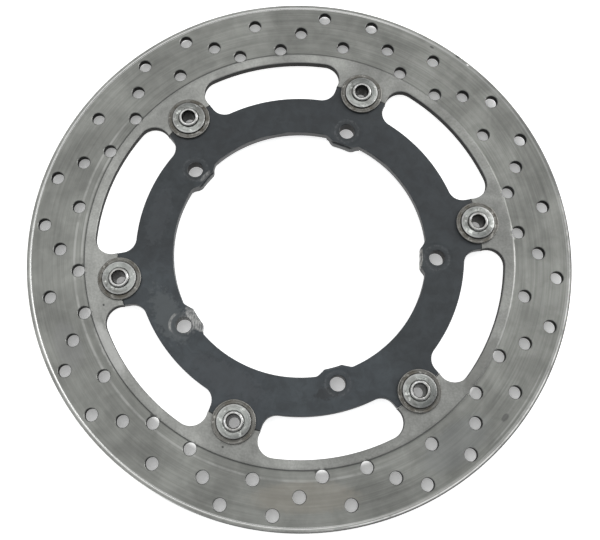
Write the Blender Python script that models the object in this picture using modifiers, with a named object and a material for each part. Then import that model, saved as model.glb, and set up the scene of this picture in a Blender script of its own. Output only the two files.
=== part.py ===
"""A motorcycle's floating front brake disc: a drilled friction ring, the carrier that bolts to
the wheel hub, and six bobbins, each with a flat washer and a spring washer, that join the two.

The disc lies flat with its axis along +Z and its outer face up. The origin is on the axis, in
the plane of the carrier's hub faces. Lengths are in metres.
"""

from math import acos, asin, cos, hypot, pi, radians, sin, sqrt

import bmesh
import bpy

MM = 0.001

# Heights above the hub faces
PLATE_BACK = 3.0 * MM
PLATE_FRONT = 8.0 * MM
GAP = 0.3 * MM  # clearance between neighbouring pieces
CUT_PAST = 1.5 * MM  # how far a cutter runs beyond the faces it cuts

# Friction ring
RING_R = 149.0 * MM
WINDOW_R = 112.2 * MM  # the windows' outer edge
WINDOW_CORNER_R = 9.0 * MM
WINDOW_CORNER_AT = (29.8 * MM, 98.8 * MM)  # from the axis, in a frame where the window is up
LUG_TIP_R = 99.7 * MM
BAND_INNER_R = 117.6 * MM  # the band that the pads have worn
BAND_OUTER_R = 146.5 * MM
BAND_SLOPE = 0.8 * MM
BAND_DEPTH = 0.3 * MM
RING_SEGMENTS = 96

# Drilled holes: eight repeats of this row of radii, one hole each 5.625 degrees
HOLE_R = 3.5 * MM
HOLE_ROW_RADII = [r * MM for r in (131.0, 121.0, 137.5, 121.0, 131.0, 141.0, 124.5, 141.0)]
HOLE_ROW_REPEATS = 8
FIRST_HOLE_ANGLE = radians(3.68)
HOLE_SEGMENTS = 14

# Carrier
CARRIER_R = 89.9 * MM
ARM_TIP_R = 99.3 * MM
ARM_HALF_WIDTH = 14.6 * MM
ARM_FILLET_R = 8.0 * MM
BORE_R = 69.3 * MM
PAD_R = 66.8 * MM  # the front plate's edge at each bolt hole
PAD_HALF_WIDTH = 5.0 * MM
PAD_FOOT_HALF_WIDTH = 10.5 * MM  # where the pad's sloping sides meet the bore
PILOT_R = 66.0 * MM  # the bosses' inner faces, which locate the disc on the hub
PILOT_HALF_WIDTH = 4.5 * MM
BOSS_R = 10.6 * MM
BOSS_FOOT_R = 69.7 * MM
BOSS_FOOT_HALF_WIDTH = 9.8 * MM
BOSS_TOP = 6.5 * MM  # the pilot faces stop short of the front
LEAD_IN = 2.0 * MM  # the bevel at the pilot faces' back edge
BOLT_COUNT = 5
BOLT_CIRCLE_R = 75.0 * MM
BOLT_HOLE_R = 4.25 * MM
SPOT_FACE_R = 8.0 * MM
SPOT_FACE_DEPTH = 0.2 * MM
ALIGNED_ANGLE = radians(73.3)  # one bolt hole and one bobbin share this direction
CARRIER_SEGMENTS = 96

# Bobbins
BOBBIN_COUNT = 6
BOBBIN_CIRCLE_R = 99.0 * MM
BARREL_R = 8.0 * MM
BOBBIN_HOLE_R = 3.6 * MM
NECK_R = 4.6 * MM
COLLAR_R = 5.4 * MM
FLANGE_R = 11.3 * MM
FLANGE_THICK = 1.7 * MM
WASHER_R = 11.7 * MM
WASHER_THICK = 1.4 * MM
SPRING_R = 9.1 * MM
SPRING_THICK = 0.8 * MM
SPRING_CONE = 0.5 * MM  # how much higher its inner edge is
COLLAR_THICK = 0.9 * MM
COLLAR_ROUND = 0.35 * MM
TURNED_SEGMENTS = 24
WASHER_SEGMENTS = 32

FLANGE_TOP = PLATE_BACK - GAP
FLANGE_BACK = FLANGE_TOP - FLANGE_THICK
WASHER_BACK = PLATE_FRONT + GAP
SPRING_BACK = WASHER_BACK + WASHER_THICK + GAP
COLLAR_BACK = SPRING_BACK + SPRING_CONE + SPRING_THICK + GAP
BOBBIN_TOP = COLLAR_BACK + COLLAR_THICK

BOBBIN_STEP = 2 * pi / BOBBIN_COUNT
BOLT_STEP = 2 * pi / BOLT_COUNT
HOLE_COUNT = HOLE_ROW_REPEATS * len(HOLE_ROW_RADII)


def on_circle(radius, angle):
    return (radius * cos(angle), radius * sin(angle))


def turned_about(points, angle):
    """The flat points turned about the disc's axis."""
    c, s = cos(angle), sin(angle)
    return [(c * x - s * y, s * x + c * y) for x, y in points]


def arc(radius, start, end, steps, centre=(0.0, 0.0)):
    """Points along an arc, both ends included."""
    angles = [start + (end - start) * i / steps for i in range(steps + 1)]
    return [(centre[0] + radius * cos(a), centre[1] + radius * sin(a)) for a in angles]


def arc_steps(span):
    """How many steps an arc about the disc's axis takes."""
    return max(1, round(abs(span) / (2 * pi) * CARRIER_SEGMENTS))


# Scene


def clear_scene():
    for old in list(bpy.data.objects):
        bpy.data.objects.remove(old, do_unlink=True)


def new_collection(name, hidden=False):
    made = bpy.data.collections.new(name)
    made.hide_render = hidden
    bpy.context.scene.collection.children.link(made)
    return made


def move_to(obj, collection):
    for old in list(obj.users_collection):
        old.objects.unlink(obj)
    collection.objects.link(obj)
    return obj


def as_cutter(obj):
    """Puts an object among the cutters, which aren't part of the disc."""
    obj.hide_render = True
    obj.display_type = "WIRE"
    return move_to(obj, bpy.data.collections["cutters"])


def as_part(obj, material):
    obj.data.materials.append(material)
    return move_to(obj, bpy.data.collections["floating_brake_disc"])


def principled(name, colour, roughness, metallic):
    made = bpy.data.materials.new(name)
    made.use_nodes = True
    shader = made.node_tree.nodes["Principled BSDF"]
    shader.inputs["Base Color"].default_value = (*colour, 1.0)
    shader.inputs["Roughness"].default_value = roughness
    shader.inputs["Metallic"].default_value = metallic
    return made


# Shapes


def as_mesh(source, name):
    """A mesh object with the source's evaluated shape, in its place. The source is removed."""
    graph = bpy.context.evaluated_depsgraph_get()
    mesh = bpy.data.meshes.new_from_object(source.evaluated_get(graph))
    mesh.name = name
    solid = bpy.data.objects.new(name, mesh)
    solid.matrix_world = source.matrix_world
    bpy.context.scene.collection.objects.link(solid)
    bpy.data.objects.remove(source, do_unlink=True)
    return solid


def smooth_round_faces(obj):
    """Shades the walls smooth and leaves the flat tops and backs flat."""
    for polygon in obj.data.polygons:
        polygon.use_smooth = abs(polygon.normal.z) < 0.99
    obj.data.set_sharp_from_angle(angle=radians(30))


def plate(name, outlines, bottom, top):
    """A flat plate between two heights. An outline inside another one is a hole."""
    flat = bpy.data.curves.new(name + "_outline", "CURVE")
    flat.dimensions = "2D"
    flat.fill_mode = "BOTH"
    flat.extrude = (top - bottom) / 2
    for outline in outlines:
        spline = flat.splines.new("POLY")
        spline.points.add(len(outline) - 1)
        for point, (x, y) in zip(spline.points, outline):
            point.co = (x, y, 0.0, 1.0)
        spline.use_cyclic_u = True
    curve = bpy.data.objects.new(name + "_outline", flat)
    curve.location.z = (top + bottom) / 2
    bpy.context.scene.collection.objects.link(curve)
    solid = as_mesh(curve, name)

    shape = bmesh.new()
    shape.from_mesh(solid.data)
    bmesh.ops.remove_doubles(shape, verts=shape.verts, dist=0.00001)
    bmesh.ops.recalc_face_normals(shape, faces=shape.faces)
    # Few large faces on top and below keep the Booleans small
    bmesh.ops.dissolve_limit(
        shape, angle_limit=radians(0.1), verts=shape.verts, edges=shape.edges
    )
    shape.to_mesh(solid.data)
    shape.free()
    smooth_round_faces(solid)
    return solid


def turned(name, profile, steps):
    """A ring turned about its own Z axis. The profile is a closed loop, outer side first and down."""
    mesh = bpy.data.meshes.new(name)
    count = len(profile)
    edges = [(i, (i + 1) % count) for i in range(count)]
    mesh.from_pydata([(r, 0.0, z) for r, z in profile], edges, [])
    guide = bpy.data.objects.new(name + "_profile", mesh)
    bpy.context.scene.collection.objects.link(guide)
    screw = guide.modifiers.new("Turn", "SCREW")
    screw.axis = "Z"
    screw.steps = steps
    screw.render_steps = steps
    screw.use_merge_vertices = True
    screw.merge_threshold = 0.00001
    solid = as_mesh(guide, name)
    smooth_round_faces(solid)
    return solid


def cylinders(name, places, radius, bottom, top, steps):
    """Equal upright cylinders in one mesh, each centred on one of the places."""
    shape = bmesh.new()
    for x, y in places:
        made = bmesh.ops.create_cone(
            shape,
            cap_ends=True,
            segments=steps,
            radius1=radius,
            radius2=radius,
            depth=top - bottom,
        )
        bmesh.ops.translate(shape, verts=made["verts"], vec=(x, y, (top + bottom) / 2))
    mesh = bpy.data.meshes.new(name)
    shape.to_mesh(mesh)
    shape.free()
    solid = bpy.data.objects.new(name, mesh)
    bpy.context.scene.collection.objects.link(solid)
    smooth_round_faces(solid)
    return solid


def boolean(obj, other, operation):
    modifier = obj.modifiers.new(other.name, "BOOLEAN")
    modifier.solver = "EXACT"
    modifier.operation = operation
    modifier.object = other


# Friction ring


def hole_places():
    """The centres of the drilled holes."""
    step = 2 * pi / HOLE_COUNT
    places = []
    for i in range(HOLE_COUNT):
        radius = HOLE_ROW_RADII[i % len(HOLE_ROW_RADII)]
        places.append(on_circle(radius, FIRST_HOLE_ANGLE + i * step))
    return places


def bobbin_places():
    return [on_circle(BOBBIN_CIRCLE_R, ALIGNED_ANGLE + i * BOBBIN_STEP) for i in range(BOBBIN_COUNT)]


def ring_blank():
    """The turned ring, with the worn band on both faces, out to the lug tips' inner radius."""
    outer_lip = BAND_OUTER_R + BAND_SLOPE / 2
    outer_floor = BAND_OUTER_R - BAND_SLOPE / 2
    inner_floor = BAND_INNER_R + BAND_SLOPE / 2
    inner_lip = BAND_INNER_R - BAND_SLOPE / 2
    back_floor = PLATE_BACK + BAND_DEPTH
    front_floor = PLATE_FRONT - BAND_DEPTH
    profile = [
        (RING_R, PLATE_FRONT),
        (RING_R, PLATE_BACK),
        (outer_lip, PLATE_BACK),
        (outer_floor, back_floor),
        (inner_floor, back_floor),
        (inner_lip, PLATE_BACK),
        (LUG_TIP_R, PLATE_BACK),
        (LUG_TIP_R, PLATE_FRONT),
        (inner_lip, PLATE_FRONT),
        (inner_floor, front_floor),
        (outer_floor, front_floor),
        (outer_lip, PLATE_FRONT),
    ]
    return turned("rotor_ring", profile, RING_SEGMENTS)


def window():
    """The outline of one window that is straight up, run on inwards past the lug tips."""
    up = pi / 2
    corner_x, corner_y = WINDOW_CORNER_AT
    corner_r = hypot(corner_x, corner_y)
    corner_turn = asin(corner_x / corner_r)
    inner_r = LUG_TIP_R - CUT_PAST
    cosine = (corner_r**2 + WINDOW_CORNER_R**2 - inner_r**2) / (2 * corner_r * WINDOW_CORNER_R)
    start = up - corner_turn
    end = start - (pi - acos(cosine))
    corner = arc(WINDOW_CORNER_R, end, start, 9, WINDOW_CORNER_AT)
    steps = round(2 * corner_turn / (2 * pi) * RING_SEGMENTS)
    outer = arc(WINDOW_R, start, pi - start, steps)[1:-1]
    return corner + outer + [(-x, y) for x, y in reversed(corner)]


def rotor_ring(material):
    ring = ring_blank()
    bottom = PLATE_BACK - CUT_PAST
    top = PLATE_FRONT + CUT_PAST
    middle = ALIGNED_ANGLE + BOBBIN_STEP / 2 - pi / 2
    windows = [turned_about(window(), middle + i * BOBBIN_STEP) for i in range(BOBBIN_COUNT)]
    seat_r = BARREL_R + GAP
    for cutter in (
        plate("ring_windows", windows, bottom, top),
        cylinders("lug_seats", bobbin_places(), seat_r, bottom, top, TURNED_SEGMENTS),
        cylinders("drilled_holes", hole_places(), HOLE_R, bottom, top, HOLE_SEGMENTS),
    ):
        boolean(ring, as_cutter(cutter), "DIFFERENCE")
    return as_part(ring, material)


# Carrier


def arm():
    """One arm that points straight up, clockwise from the left fillet to the right one."""
    up = pi / 2
    centre_x = ARM_HALF_WIDTH + ARM_FILLET_R
    centre_y = sqrt((CARRIER_R + ARM_FILLET_R) ** 2 - centre_x**2)
    toward_axis = asin(centre_y / (CARRIER_R + ARM_FILLET_R))
    fillet = arc(ARM_FILLET_R, -toward_axis, 0.0, 6, (-centre_x, centre_y))
    tip_half = asin(ARM_HALF_WIDTH / ARM_TIP_R)
    tip = arc(ARM_TIP_R, up + tip_half, up - tip_half, 8)
    return fillet + tip + [(-x, y) for x, y in reversed(fillet)]


def carrier_edge():
    """The carrier's outer outline, clockwise."""
    one = arm()
    arm_half = asin(-one[0][0] / CARRIER_R)
    span = BOBBIN_STEP - 2 * arm_half
    outline = []
    for i in range(BOBBIN_COUNT):
        angle = ALIGNED_ANGLE - i * BOBBIN_STEP
        outline += turned_about(one, angle - pi / 2)
        start = angle - arm_half
        outline += arc(CARRIER_R, start, start - span, arc_steps(span))[1:-1]
    return outline


def swelling(inner_r, half_width, foot_r, foot_half_width):
    """The edge of a swelling that is straight up on the bore: its flat middle and its sloping sides."""
    up = pi / 2
    half = asin(half_width / inner_r)
    foot_half = asin(foot_half_width / foot_r)
    side = []
    for i in range(1, 6):
        share = i / 5
        eased = share * share * (3 - 2 * share)
        angle = up - half - (foot_half - half) * share
        side.append(on_circle(inner_r + (foot_r - inner_r) * eased, angle))
    return [(-x, y) for x, y in reversed(side)] + arc(inner_r, up + half, up - half, 4) + side


def bore_edge():
    """The carrier's inner outline, clockwise, with a pad at each bolt hole."""
    pad = swelling(PAD_R, PAD_HALF_WIDTH, BORE_R, PAD_FOOT_HALF_WIDTH)
    foot_half = asin(PAD_FOOT_HALF_WIDTH / BORE_R)
    span = BOLT_STEP - 2 * foot_half
    outline = []
    for i in range(BOLT_COUNT):
        angle = ALIGNED_ANGLE - i * BOLT_STEP
        outline += turned_about(pad, angle - pi / 2)
        start = angle - foot_half
        outline += arc(BORE_R, start, start - span, arc_steps(span))[1:-1]
    return outline


def boss():
    """The outline of one boss that is straight up: round behind, with its pilot face on the bore."""
    front = swelling(PILOT_R, PILOT_HALF_WIDTH, BOSS_FOOT_R, BOSS_FOOT_HALF_WIDTH)
    start = -acos(BOSS_FOOT_HALF_WIDTH / BOSS_R)
    return front + arc(BOSS_R, start, pi - start, 22, (0.0, BOLT_CIRCLE_R))


def hub_carrier(material):
    carrier = plate("hub_carrier", [carrier_edge(), bore_edge()], PLATE_BACK, PLATE_FRONT)
    turns = [ALIGNED_ANGLE + i * BOLT_STEP for i in range(BOLT_COUNT)]
    bolts = [on_circle(BOLT_CIRCLE_R, angle) for angle in turns]
    bottom = -CUT_PAST
    top = PLATE_FRONT + CUT_PAST
    seat_r = BARREL_R + GAP
    spot_floor = PLATE_FRONT - SPOT_FACE_DEPTH
    bosses = plate("bosses", [turned_about(boss(), a - pi / 2) for a in turns], 0.0, BOSS_TOP)
    boolean(carrier, as_cutter(bosses), "UNION")
    lead_in = [
        (PILOT_R - CUT_PAST, LEAD_IN + CUT_PAST),
        (PILOT_R + LEAD_IN + CUT_PAST, bottom),
        (PILOT_R - 2 * CUT_PAST, bottom),
        (PILOT_R - 2 * CUT_PAST, LEAD_IN + CUT_PAST),
    ]
    for cutter in (
        turned("lead_in", lead_in, CARRIER_SEGMENTS),
        cylinders("arm_seats", bobbin_places(), seat_r, bottom, top, TURNED_SEGMENTS),
        cylinders("bolt_drills", bolts, BOLT_HOLE_R, bottom, top, 20),
        cylinders("spot_faces", bolts, SPOT_FACE_R, spot_floor, top, 32),
    ):
        boolean(carrier, as_cutter(cutter), "DIFFERENCE")
    return as_part(carrier, material)


# Bobbins


def bobbin(material):
    """A hollow rivet: a back flange, the barrel in its seat, a neck and a rolled collar."""
    profile = [
        (COLLAR_R - COLLAR_ROUND, BOBBIN_TOP),
        (COLLAR_R, BOBBIN_TOP - COLLAR_ROUND),
        (COLLAR_R, COLLAR_BACK),
        (NECK_R, COLLAR_BACK),
        (NECK_R, WASHER_BACK),
        (BARREL_R, WASHER_BACK),
        (BARREL_R, FLANGE_TOP),
        (FLANGE_R, FLANGE_TOP),
        (FLANGE_R, FLANGE_BACK),
        (BOBBIN_HOLE_R, FLANGE_BACK),
        (BOBBIN_HOLE_R, BOBBIN_TOP - COLLAR_ROUND),
        (BOBBIN_HOLE_R + COLLAR_ROUND, BOBBIN_TOP),
    ]
    return as_part(turned("bobbin", profile, TURNED_SEGMENTS), material)


def flat_washer(material):
    inner = NECK_R + GAP
    top = WASHER_BACK + WASHER_THICK
    profile = [(WASHER_R, top), (WASHER_R, WASHER_BACK), (inner, WASHER_BACK), (inner, top)]
    return as_part(turned("flat_washer", profile, WASHER_SEGMENTS), material)


def spring_washer(material):
    """A conical washer, higher at its inner edge."""
    inner = NECK_R + GAP
    inner_back = SPRING_BACK + SPRING_CONE
    profile = [
        (SPRING_R, SPRING_BACK + SPRING_THICK),
        (SPRING_R, SPRING_BACK),
        (inner, inner_back),
        (inner, inner_back + SPRING_THICK),
    ]
    return as_part(turned("spring_washer", profile, WASHER_SEGMENTS), material)


def put_at_bobbins(first):
    """Six of a piece, one on each bobbin's axis, numbered from the one in line with a bolt hole."""
    name = first.name
    for i, (x, y) in enumerate(bobbin_places()):
        piece = first if i == 0 else first.copy()
        if i > 0:
            bpy.data.collections["floating_brake_disc"].objects.link(piece)
        piece.name = f"{name}_{i + 1}"
        piece.location = (x, y, 0.0)


def main():
    clear_scene()
    new_collection("floating_brake_disc")
    new_collection("cutters", hidden=True)

    rotor_ring(principled("stainless_steel", (0.50, 0.50, 0.48), 0.34, 1.0))
    hub_carrier(principled("black_anodised_aluminium", (0.045, 0.050, 0.058), 0.48, 0.4))
    put_at_bobbins(bobbin(principled("bobbin_steel", (0.62, 0.61, 0.59), 0.28, 1.0)))
    put_at_bobbins(flat_washer(principled("flat_washer_steel", (0.42, 0.41, 0.37), 0.38, 1.0)))
    put_at_bobbins(spring_washer(principled("spring_steel", (0.56, 0.56, 0.55), 0.30, 1.0)))
    bpy.context.view_layer.update()


main()
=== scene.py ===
"""The looks of a motorcycle's floating front brake disc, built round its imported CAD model.

The disc lies on a pale floor with its axis along +Z. Lengths are in millimetres, as in the CAD
source, until a mesh is made.
"""

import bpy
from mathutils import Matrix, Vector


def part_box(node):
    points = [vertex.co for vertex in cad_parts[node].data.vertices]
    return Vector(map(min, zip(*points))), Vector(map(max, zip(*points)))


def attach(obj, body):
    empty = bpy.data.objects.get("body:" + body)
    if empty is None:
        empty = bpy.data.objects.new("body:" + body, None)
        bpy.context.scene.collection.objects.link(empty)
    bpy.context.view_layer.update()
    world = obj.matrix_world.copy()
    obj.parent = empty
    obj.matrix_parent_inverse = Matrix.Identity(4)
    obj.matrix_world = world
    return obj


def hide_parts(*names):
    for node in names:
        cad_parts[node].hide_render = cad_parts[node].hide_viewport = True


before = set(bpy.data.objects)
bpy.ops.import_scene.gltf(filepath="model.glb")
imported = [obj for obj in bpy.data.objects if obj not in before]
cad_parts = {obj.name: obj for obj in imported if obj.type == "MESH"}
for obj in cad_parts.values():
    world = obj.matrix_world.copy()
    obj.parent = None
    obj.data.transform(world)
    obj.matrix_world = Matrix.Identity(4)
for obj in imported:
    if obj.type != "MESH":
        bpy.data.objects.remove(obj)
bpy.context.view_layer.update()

from math import acos, asin, atan2, cos, hypot, pi, radians, sin, sqrt, tan, tau

import bmesh
import bpy
from mathutils import Vector
from mathutils.geometry import delaunay_2d_cdt
from mathutils.kdtree import KDTree

MM = 0.001


def box_mm(node):
    """The lowest and highest corners of a CAD node, in millimetres."""
    low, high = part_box(node)
    return low / MM, high / MM


# Sizes that the CAD boxes give
RING_LOW, RING_HIGH = box_mm("rotor_ring")
PLATE_BACK = RING_LOW.z
PLATE_FRONT = RING_HIGH.z
RING_R = (RING_HIGH.x - RING_LOW.x) / 2
BOBBIN_TOP = box_mm("bobbin_1")[1].z
FLANGE_BACK = box_mm("bobbin_1")[0].z
WASHER_LOW, WASHER_HIGH = box_mm("flat_washer_1")
SPRING_LOW, SPRING_HIGH = box_mm("spring_washer_1")

# Friction ring, as in the CAD source
WINDOW_R = 112.2
WINDOW_CORNER_R = 9.0
WINDOW_CORNER_AT = (29.8, 98.8)
BAND_INNER_R = 117.6
BAND_OUTER_R = 146.5
BAND_SLOPE = 0.8
BAND_DEPTH = 0.3
HOLE_R = 3.5
HOLE_ROW_RADII = (131.0, 121.0, 137.5, 121.0, 131.0, 141.0, 124.5, 141.0)
HOLE_COUNT = 64
FIRST_HOLE_ANGLE = radians(3.68)

# Carrier, as in the CAD source
CARRIER_R = 89.9
ARM_HALF_WIDTH = 14.6
ARM_FILLET_R = 8.0
BORE_R = 69.3
PAD_R = 66.8
PILOT_R = 66.0
PAD_HALF_WIDTH = 5.0
PAD_FOOT_HALF_WIDTH = 10.5
PILOT_HALF_WIDTH = 4.5
BOSS_R = 10.6
BOSS_FOOT_R = 69.7
BOSS_FOOT_HALF_WIDTH = 9.8
BOSS_TOP = 6.5
LEAD_IN = 2.0
BOLT_COUNT = 5
BOLT_CIRCLE_R = 75.0
BOLT_HOLE_R = 4.25
SPOT_FACE_R = 8.0
SPOT_FACE_DEPTH = 0.2
ALIGNED_ANGLE = radians(73.3)

# Bobbins, as in the CAD source
BOBBIN_COUNT = 6
BOBBIN_CIRCLE_R = 99.0
SEAT_R = 8.3
BARREL_R = 8.0
BOBBIN_HOLE_R = 3.6
NECK_R = 4.6
COLLAR_R = 5.4
COLLAR_THICK = 0.9
FLANGE_R = 11.3
FLANGE_THICK = 1.7
WASHER_R = 11.7
SPRING_R = 9.1
SPRING_THICK = 0.8
WASHER_HOLE_R = 4.9

# Finer than the CAD source: a hairline split between lugs and arms, bobbin holes that narrow, spot
# faces with sloping edges, the grooves that the pads leave, and one turned in each flat washer
LUG_TIP_R = 99.58
ARM_TIP_R = 99.42
BOBBIN_HOLE_BACK_R = 2.8
SPOT_FACE_SLOPE_OUT = 0.4
SPOT_FACE_SLOPE_IN = 0.3
GROOVE_DEPTH = 0.007
FINE_GROOVE_DEPTH = 0.004
WASHER_GROOVE_R = 10.4
WASHER_GROOVE_HALF_WIDTH = 0.5
WASHER_GROOVE_SLOPE = 0.2
WASHER_GROOVE_DEPTH = 0.05

# How finely the surfaces are divided
HOLE_STEPS = 40
RING_COLUMNS = 400
TURNED_STEPS = 96
BAND_STEP = 0.8
BAND_EDGE_PLACES = (-1.0, -0.67, -0.33, 0.0, 0.33, 0.67, 1.0)
LEAST_TO_OUTLINE = 0.55

# Broken edges
RIM_CHAMFER = 0.5
HOLE_CHAMFER = 0.3
CARRIER_CHAMFER = 0.3
BOSS_CHAMFER = 0.35
DRILL_CHAMFER = 0.35

# How far the cutters run past the carrier
DRILL_PAST = 2.0
LEAD_IN_PAST = 1.5

BOBBIN_STEP = tau / BOBBIN_COUNT
BOLT_STEP = tau / BOLT_COUNT

# Camera: place in metres, turn in degrees
CAMERA_PLACE = (0.0, -0.13421, 0.50545)
CAMERA_TURN = (13.904, -1.031, 3.897)
CAMERA_LENS = 56.52

# Disk lights aimed at the disc: name, place in metres, diameter in metres, watts
LIGHTS = (
    ("key", (1.0, 0.85, 1.05), 1.0, 9.0),
    ("side", (1.5, 0.35, 0.5), 0.7, 5.0),
    ("overhead", (-0.35, 0.3, 1.55), 1.8, 9.0),
)

# Floor: half of its side in metres, how far it lies under the disc, its glow, and its lower glow under
# the disc, which paints a shadow there
FLOOR_HALF_SIZE = 12.0
FLOOR_DROP = 0.5
FLOOR_GLOW = 0.75
FLOOR_GLOW_UNDER = 0.22

# The world's strength overhead and at the horizon
WORLD_HIGH = 0.30
WORLD_LOW = 0.55


# Flat outlines


def on_circle(radius, angle):
    return (radius * cos(angle), radius * sin(angle))


def turned_about(points, angle):
    """The flat points turned about the disc's axis."""
    c, s = cos(angle), sin(angle)
    return [(c * x - s * y, s * x + c * y) for x, y in points]


def arc(radius, start, end, steps, centre=(0.0, 0.0)):
    """Points along an arc, both ends included."""
    angles = [start + (end - start) * i / steps for i in range(steps + 1)]
    return [(centre[0] + radius * cos(a), centre[1] + radius * sin(a)) for a in angles]


def circle(radius, steps, centre=(0.0, 0.0)):
    return arc(radius, 0.0, tau, steps, centre)[:-1]


def line(start, end, steps):
    """Points between two others, neither end included."""
    shares = [i / steps for i in range(1, steps)]
    return [tuple(a + (b - a) * t for a, b in zip(start, end)) for t in shares]


def eased(t):
    """A share of the way that starts and ends gently."""
    return t * t * (3 - 2 * t)


def crossing(radius, centre_r, round_r):
    """Where a circle about the axis meets another circle that is straight up, as the angle from it."""
    return acos((radius**2 + centre_r**2 - round_r**2) / (2 * radius * centre_r))


def crossing_about_centre(radius, centre_r, round_r):
    """The same point on the right side, as an angle about the other circle's centre."""
    x, y = on_circle(radius, pi / 2 - crossing(radius, centre_r, round_r))
    return atan2(y - centre_r, x)


def columns(span):
    """How many of the ring's columns an arc about the axis spans."""
    return max(2, round(abs(span) / tau * RING_COLUMNS))


def hole_places():
    step = tau / HOLE_COUNT
    radii = [HOLE_ROW_RADII[i % len(HOLE_ROW_RADII)] for i in range(HOLE_COUNT)]
    return [on_circle(radius, FIRST_HOLE_ANGLE + i * step) for i, radius in enumerate(radii)]


def bobbin_places():
    return [on_circle(BOBBIN_CIRCLE_R, ALIGNED_ANGLE + i * BOBBIN_STEP) for i in range(BOBBIN_COUNT)]


def bolt_places():
    return [on_circle(BOLT_CIRCLE_R, ALIGNED_ANGLE + i * BOLT_STEP) for i in range(BOLT_COUNT)]


def ring_inner_edge():
    """The ring's inner outline, clockwise: a lug with its seat, then a window, six times."""
    up = pi / 2
    corner_x, corner_y = WINDOW_CORNER_AT
    corner_far = hypot(corner_x, corner_y)
    corner_turn = atan2(corner_x, corner_y)
    cosine = (corner_far**2 + WINDOW_CORNER_R**2 - LUG_TIP_R**2) / (
        2 * corner_far * WINDOW_CORNER_R
    )
    corner_start = up + corner_turn
    corner_end = corner_start + (pi - acos(cosine))
    corner = arc(WINDOW_CORNER_R, corner_end, corner_start, 22, (-corner_x, corner_y))
    middle = arc(WINDOW_R, up + corner_turn, up - corner_turn, columns(2 * corner_turn))[1:-1]
    window = corner + middle + [(-x, y) for x, y in reversed(corner)]

    seat_half = crossing(LUG_TIP_R, BOBBIN_CIRCLE_R, SEAT_R)
    seat_end = crossing_about_centre(LUG_TIP_R, BOBBIN_CIRCLE_R, SEAT_R)
    window_foot = up - atan2(window[-1][1], window[-1][0])
    tip_half = BOBBIN_STEP / 2 - window_foot
    tip = arc(LUG_TIP_R, up + tip_half, up + seat_half, 8)[1:]
    seat = arc(SEAT_R, pi - seat_end, seat_end, 32, (0.0, BOBBIN_CIRCLE_R))[1:-1]
    lug = tip + seat + [(-x, y) for x, y in reversed(tip)]

    outline = []
    for i in range(BOBBIN_COUNT):
        angle = ALIGNED_ANGLE - i * BOBBIN_STEP - up
        outline += turned_about(lug, angle)
        outline += turned_about(window, angle - BOBBIN_STEP / 2)
    return outline


def arm():
    """One arm that points straight up, clockwise from the left fillet to the right one."""
    up = pi / 2
    centre_x = ARM_HALF_WIDTH + ARM_FILLET_R
    centre_y = sqrt((CARRIER_R + ARM_FILLET_R) ** 2 - centre_x**2)
    toward_axis = asin(centre_y / (CARRIER_R + ARM_FILLET_R))
    fillet = arc(ARM_FILLET_R, -toward_axis, 0.0, 14, (-centre_x, centre_y))
    tip_half = asin(ARM_HALF_WIDTH / ARM_TIP_R)
    seat_half = crossing(ARM_TIP_R, BOBBIN_CIRCLE_R, SEAT_R)
    seat_end = crossing_about_centre(ARM_TIP_R, BOBBIN_CIRCLE_R, SEAT_R)
    tip = arc(ARM_TIP_R, up + tip_half, up + seat_half, 6)
    side = line(fillet[-1], tip[0], 4)
    seat = arc(SEAT_R, pi - seat_end, tau + seat_end, 32, (0.0, BOBBIN_CIRCLE_R))[1:-1]
    left = fillet + side + tip
    return left + seat + [(-x, y) for x, y in reversed(left)]


def carrier_edge():
    """The carrier's outer outline, clockwise."""
    one = arm()
    arm_half = asin(-one[0][0] / CARRIER_R)
    span = BOBBIN_STEP - 2 * arm_half
    outline = []
    for i in range(BOBBIN_COUNT):
        angle = ALIGNED_ANGLE - i * BOBBIN_STEP
        outline += turned_about(one, angle - pi / 2)
        start = angle - arm_half
        outline += arc(CARRIER_R, start, start - span, columns(span))[1:-1]
    return outline


def swelling(inner_r, half_width, foot_r, foot_half_width):
    """The edge of a swelling that is straight up on the bore: its flat middle and its sloping sides."""
    up = pi / 2
    half = asin(half_width / inner_r)
    foot_half = asin(foot_half_width / foot_r)
    side = []
    side_steps = 14
    for i in range(1, side_steps + 1):
        t = i / side_steps
        radius = inner_r + (foot_r - inner_r) * eased(t)
        side.append(on_circle(radius, up - half - (foot_half - half) * t))
    return [(-x, y) for x, y in reversed(side)] + arc(inner_r, up + half, up - half, 12) + side


def bore_edge():
    """The carrier's inner outline, clockwise, with a pad at each bolt hole."""
    pad = swelling(PAD_R, PAD_HALF_WIDTH, BORE_R, PAD_FOOT_HALF_WIDTH)
    foot_half = asin(PAD_FOOT_HALF_WIDTH / BORE_R)
    span = BOLT_STEP - 2 * foot_half
    outline = []
    for i in range(BOLT_COUNT):
        angle = ALIGNED_ANGLE - i * BOLT_STEP
        outline += turned_about(pad, angle - pi / 2)
        start = angle - foot_half
        outline += arc(BORE_R, start, start - span, columns(span))[1:-1]
    return outline


def boss():
    """The outline of one boss that is straight up: round behind, with its pilot face on the bore."""
    front = swelling(PILOT_R, PILOT_HALF_WIDTH, BOSS_FOOT_R, BOSS_FOOT_HALF_WIDTH)
    start = -acos(BOSS_FOOT_HALF_WIDTH / BOSS_R)
    return front + arc(BOSS_R, start, pi - start, 64, (0.0, BOLT_CIRCLE_R))


# Meshes


def object_from(name, shape):
    """An object with the bmesh as its mesh, turned from millimetres to metres."""
    bmesh.ops.recalc_face_normals(shape, faces=shape.faces)
    bmesh.ops.scale(shape, vec=(MM, MM, MM), verts=shape.verts)
    mesh = bpy.data.meshes.new(name)
    shape.to_mesh(mesh)
    shape.free()
    made = bpy.data.objects.new(name, mesh)
    bpy.context.scene.collection.objects.link(made)
    return made


def shade(obj, sharpest=30):
    """Shades the object smooth apart from edges sharper than this many degrees."""
    obj.data.shade_smooth()
    obj.data.set_sharp_from_angle(angle=radians(sharpest))


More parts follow.
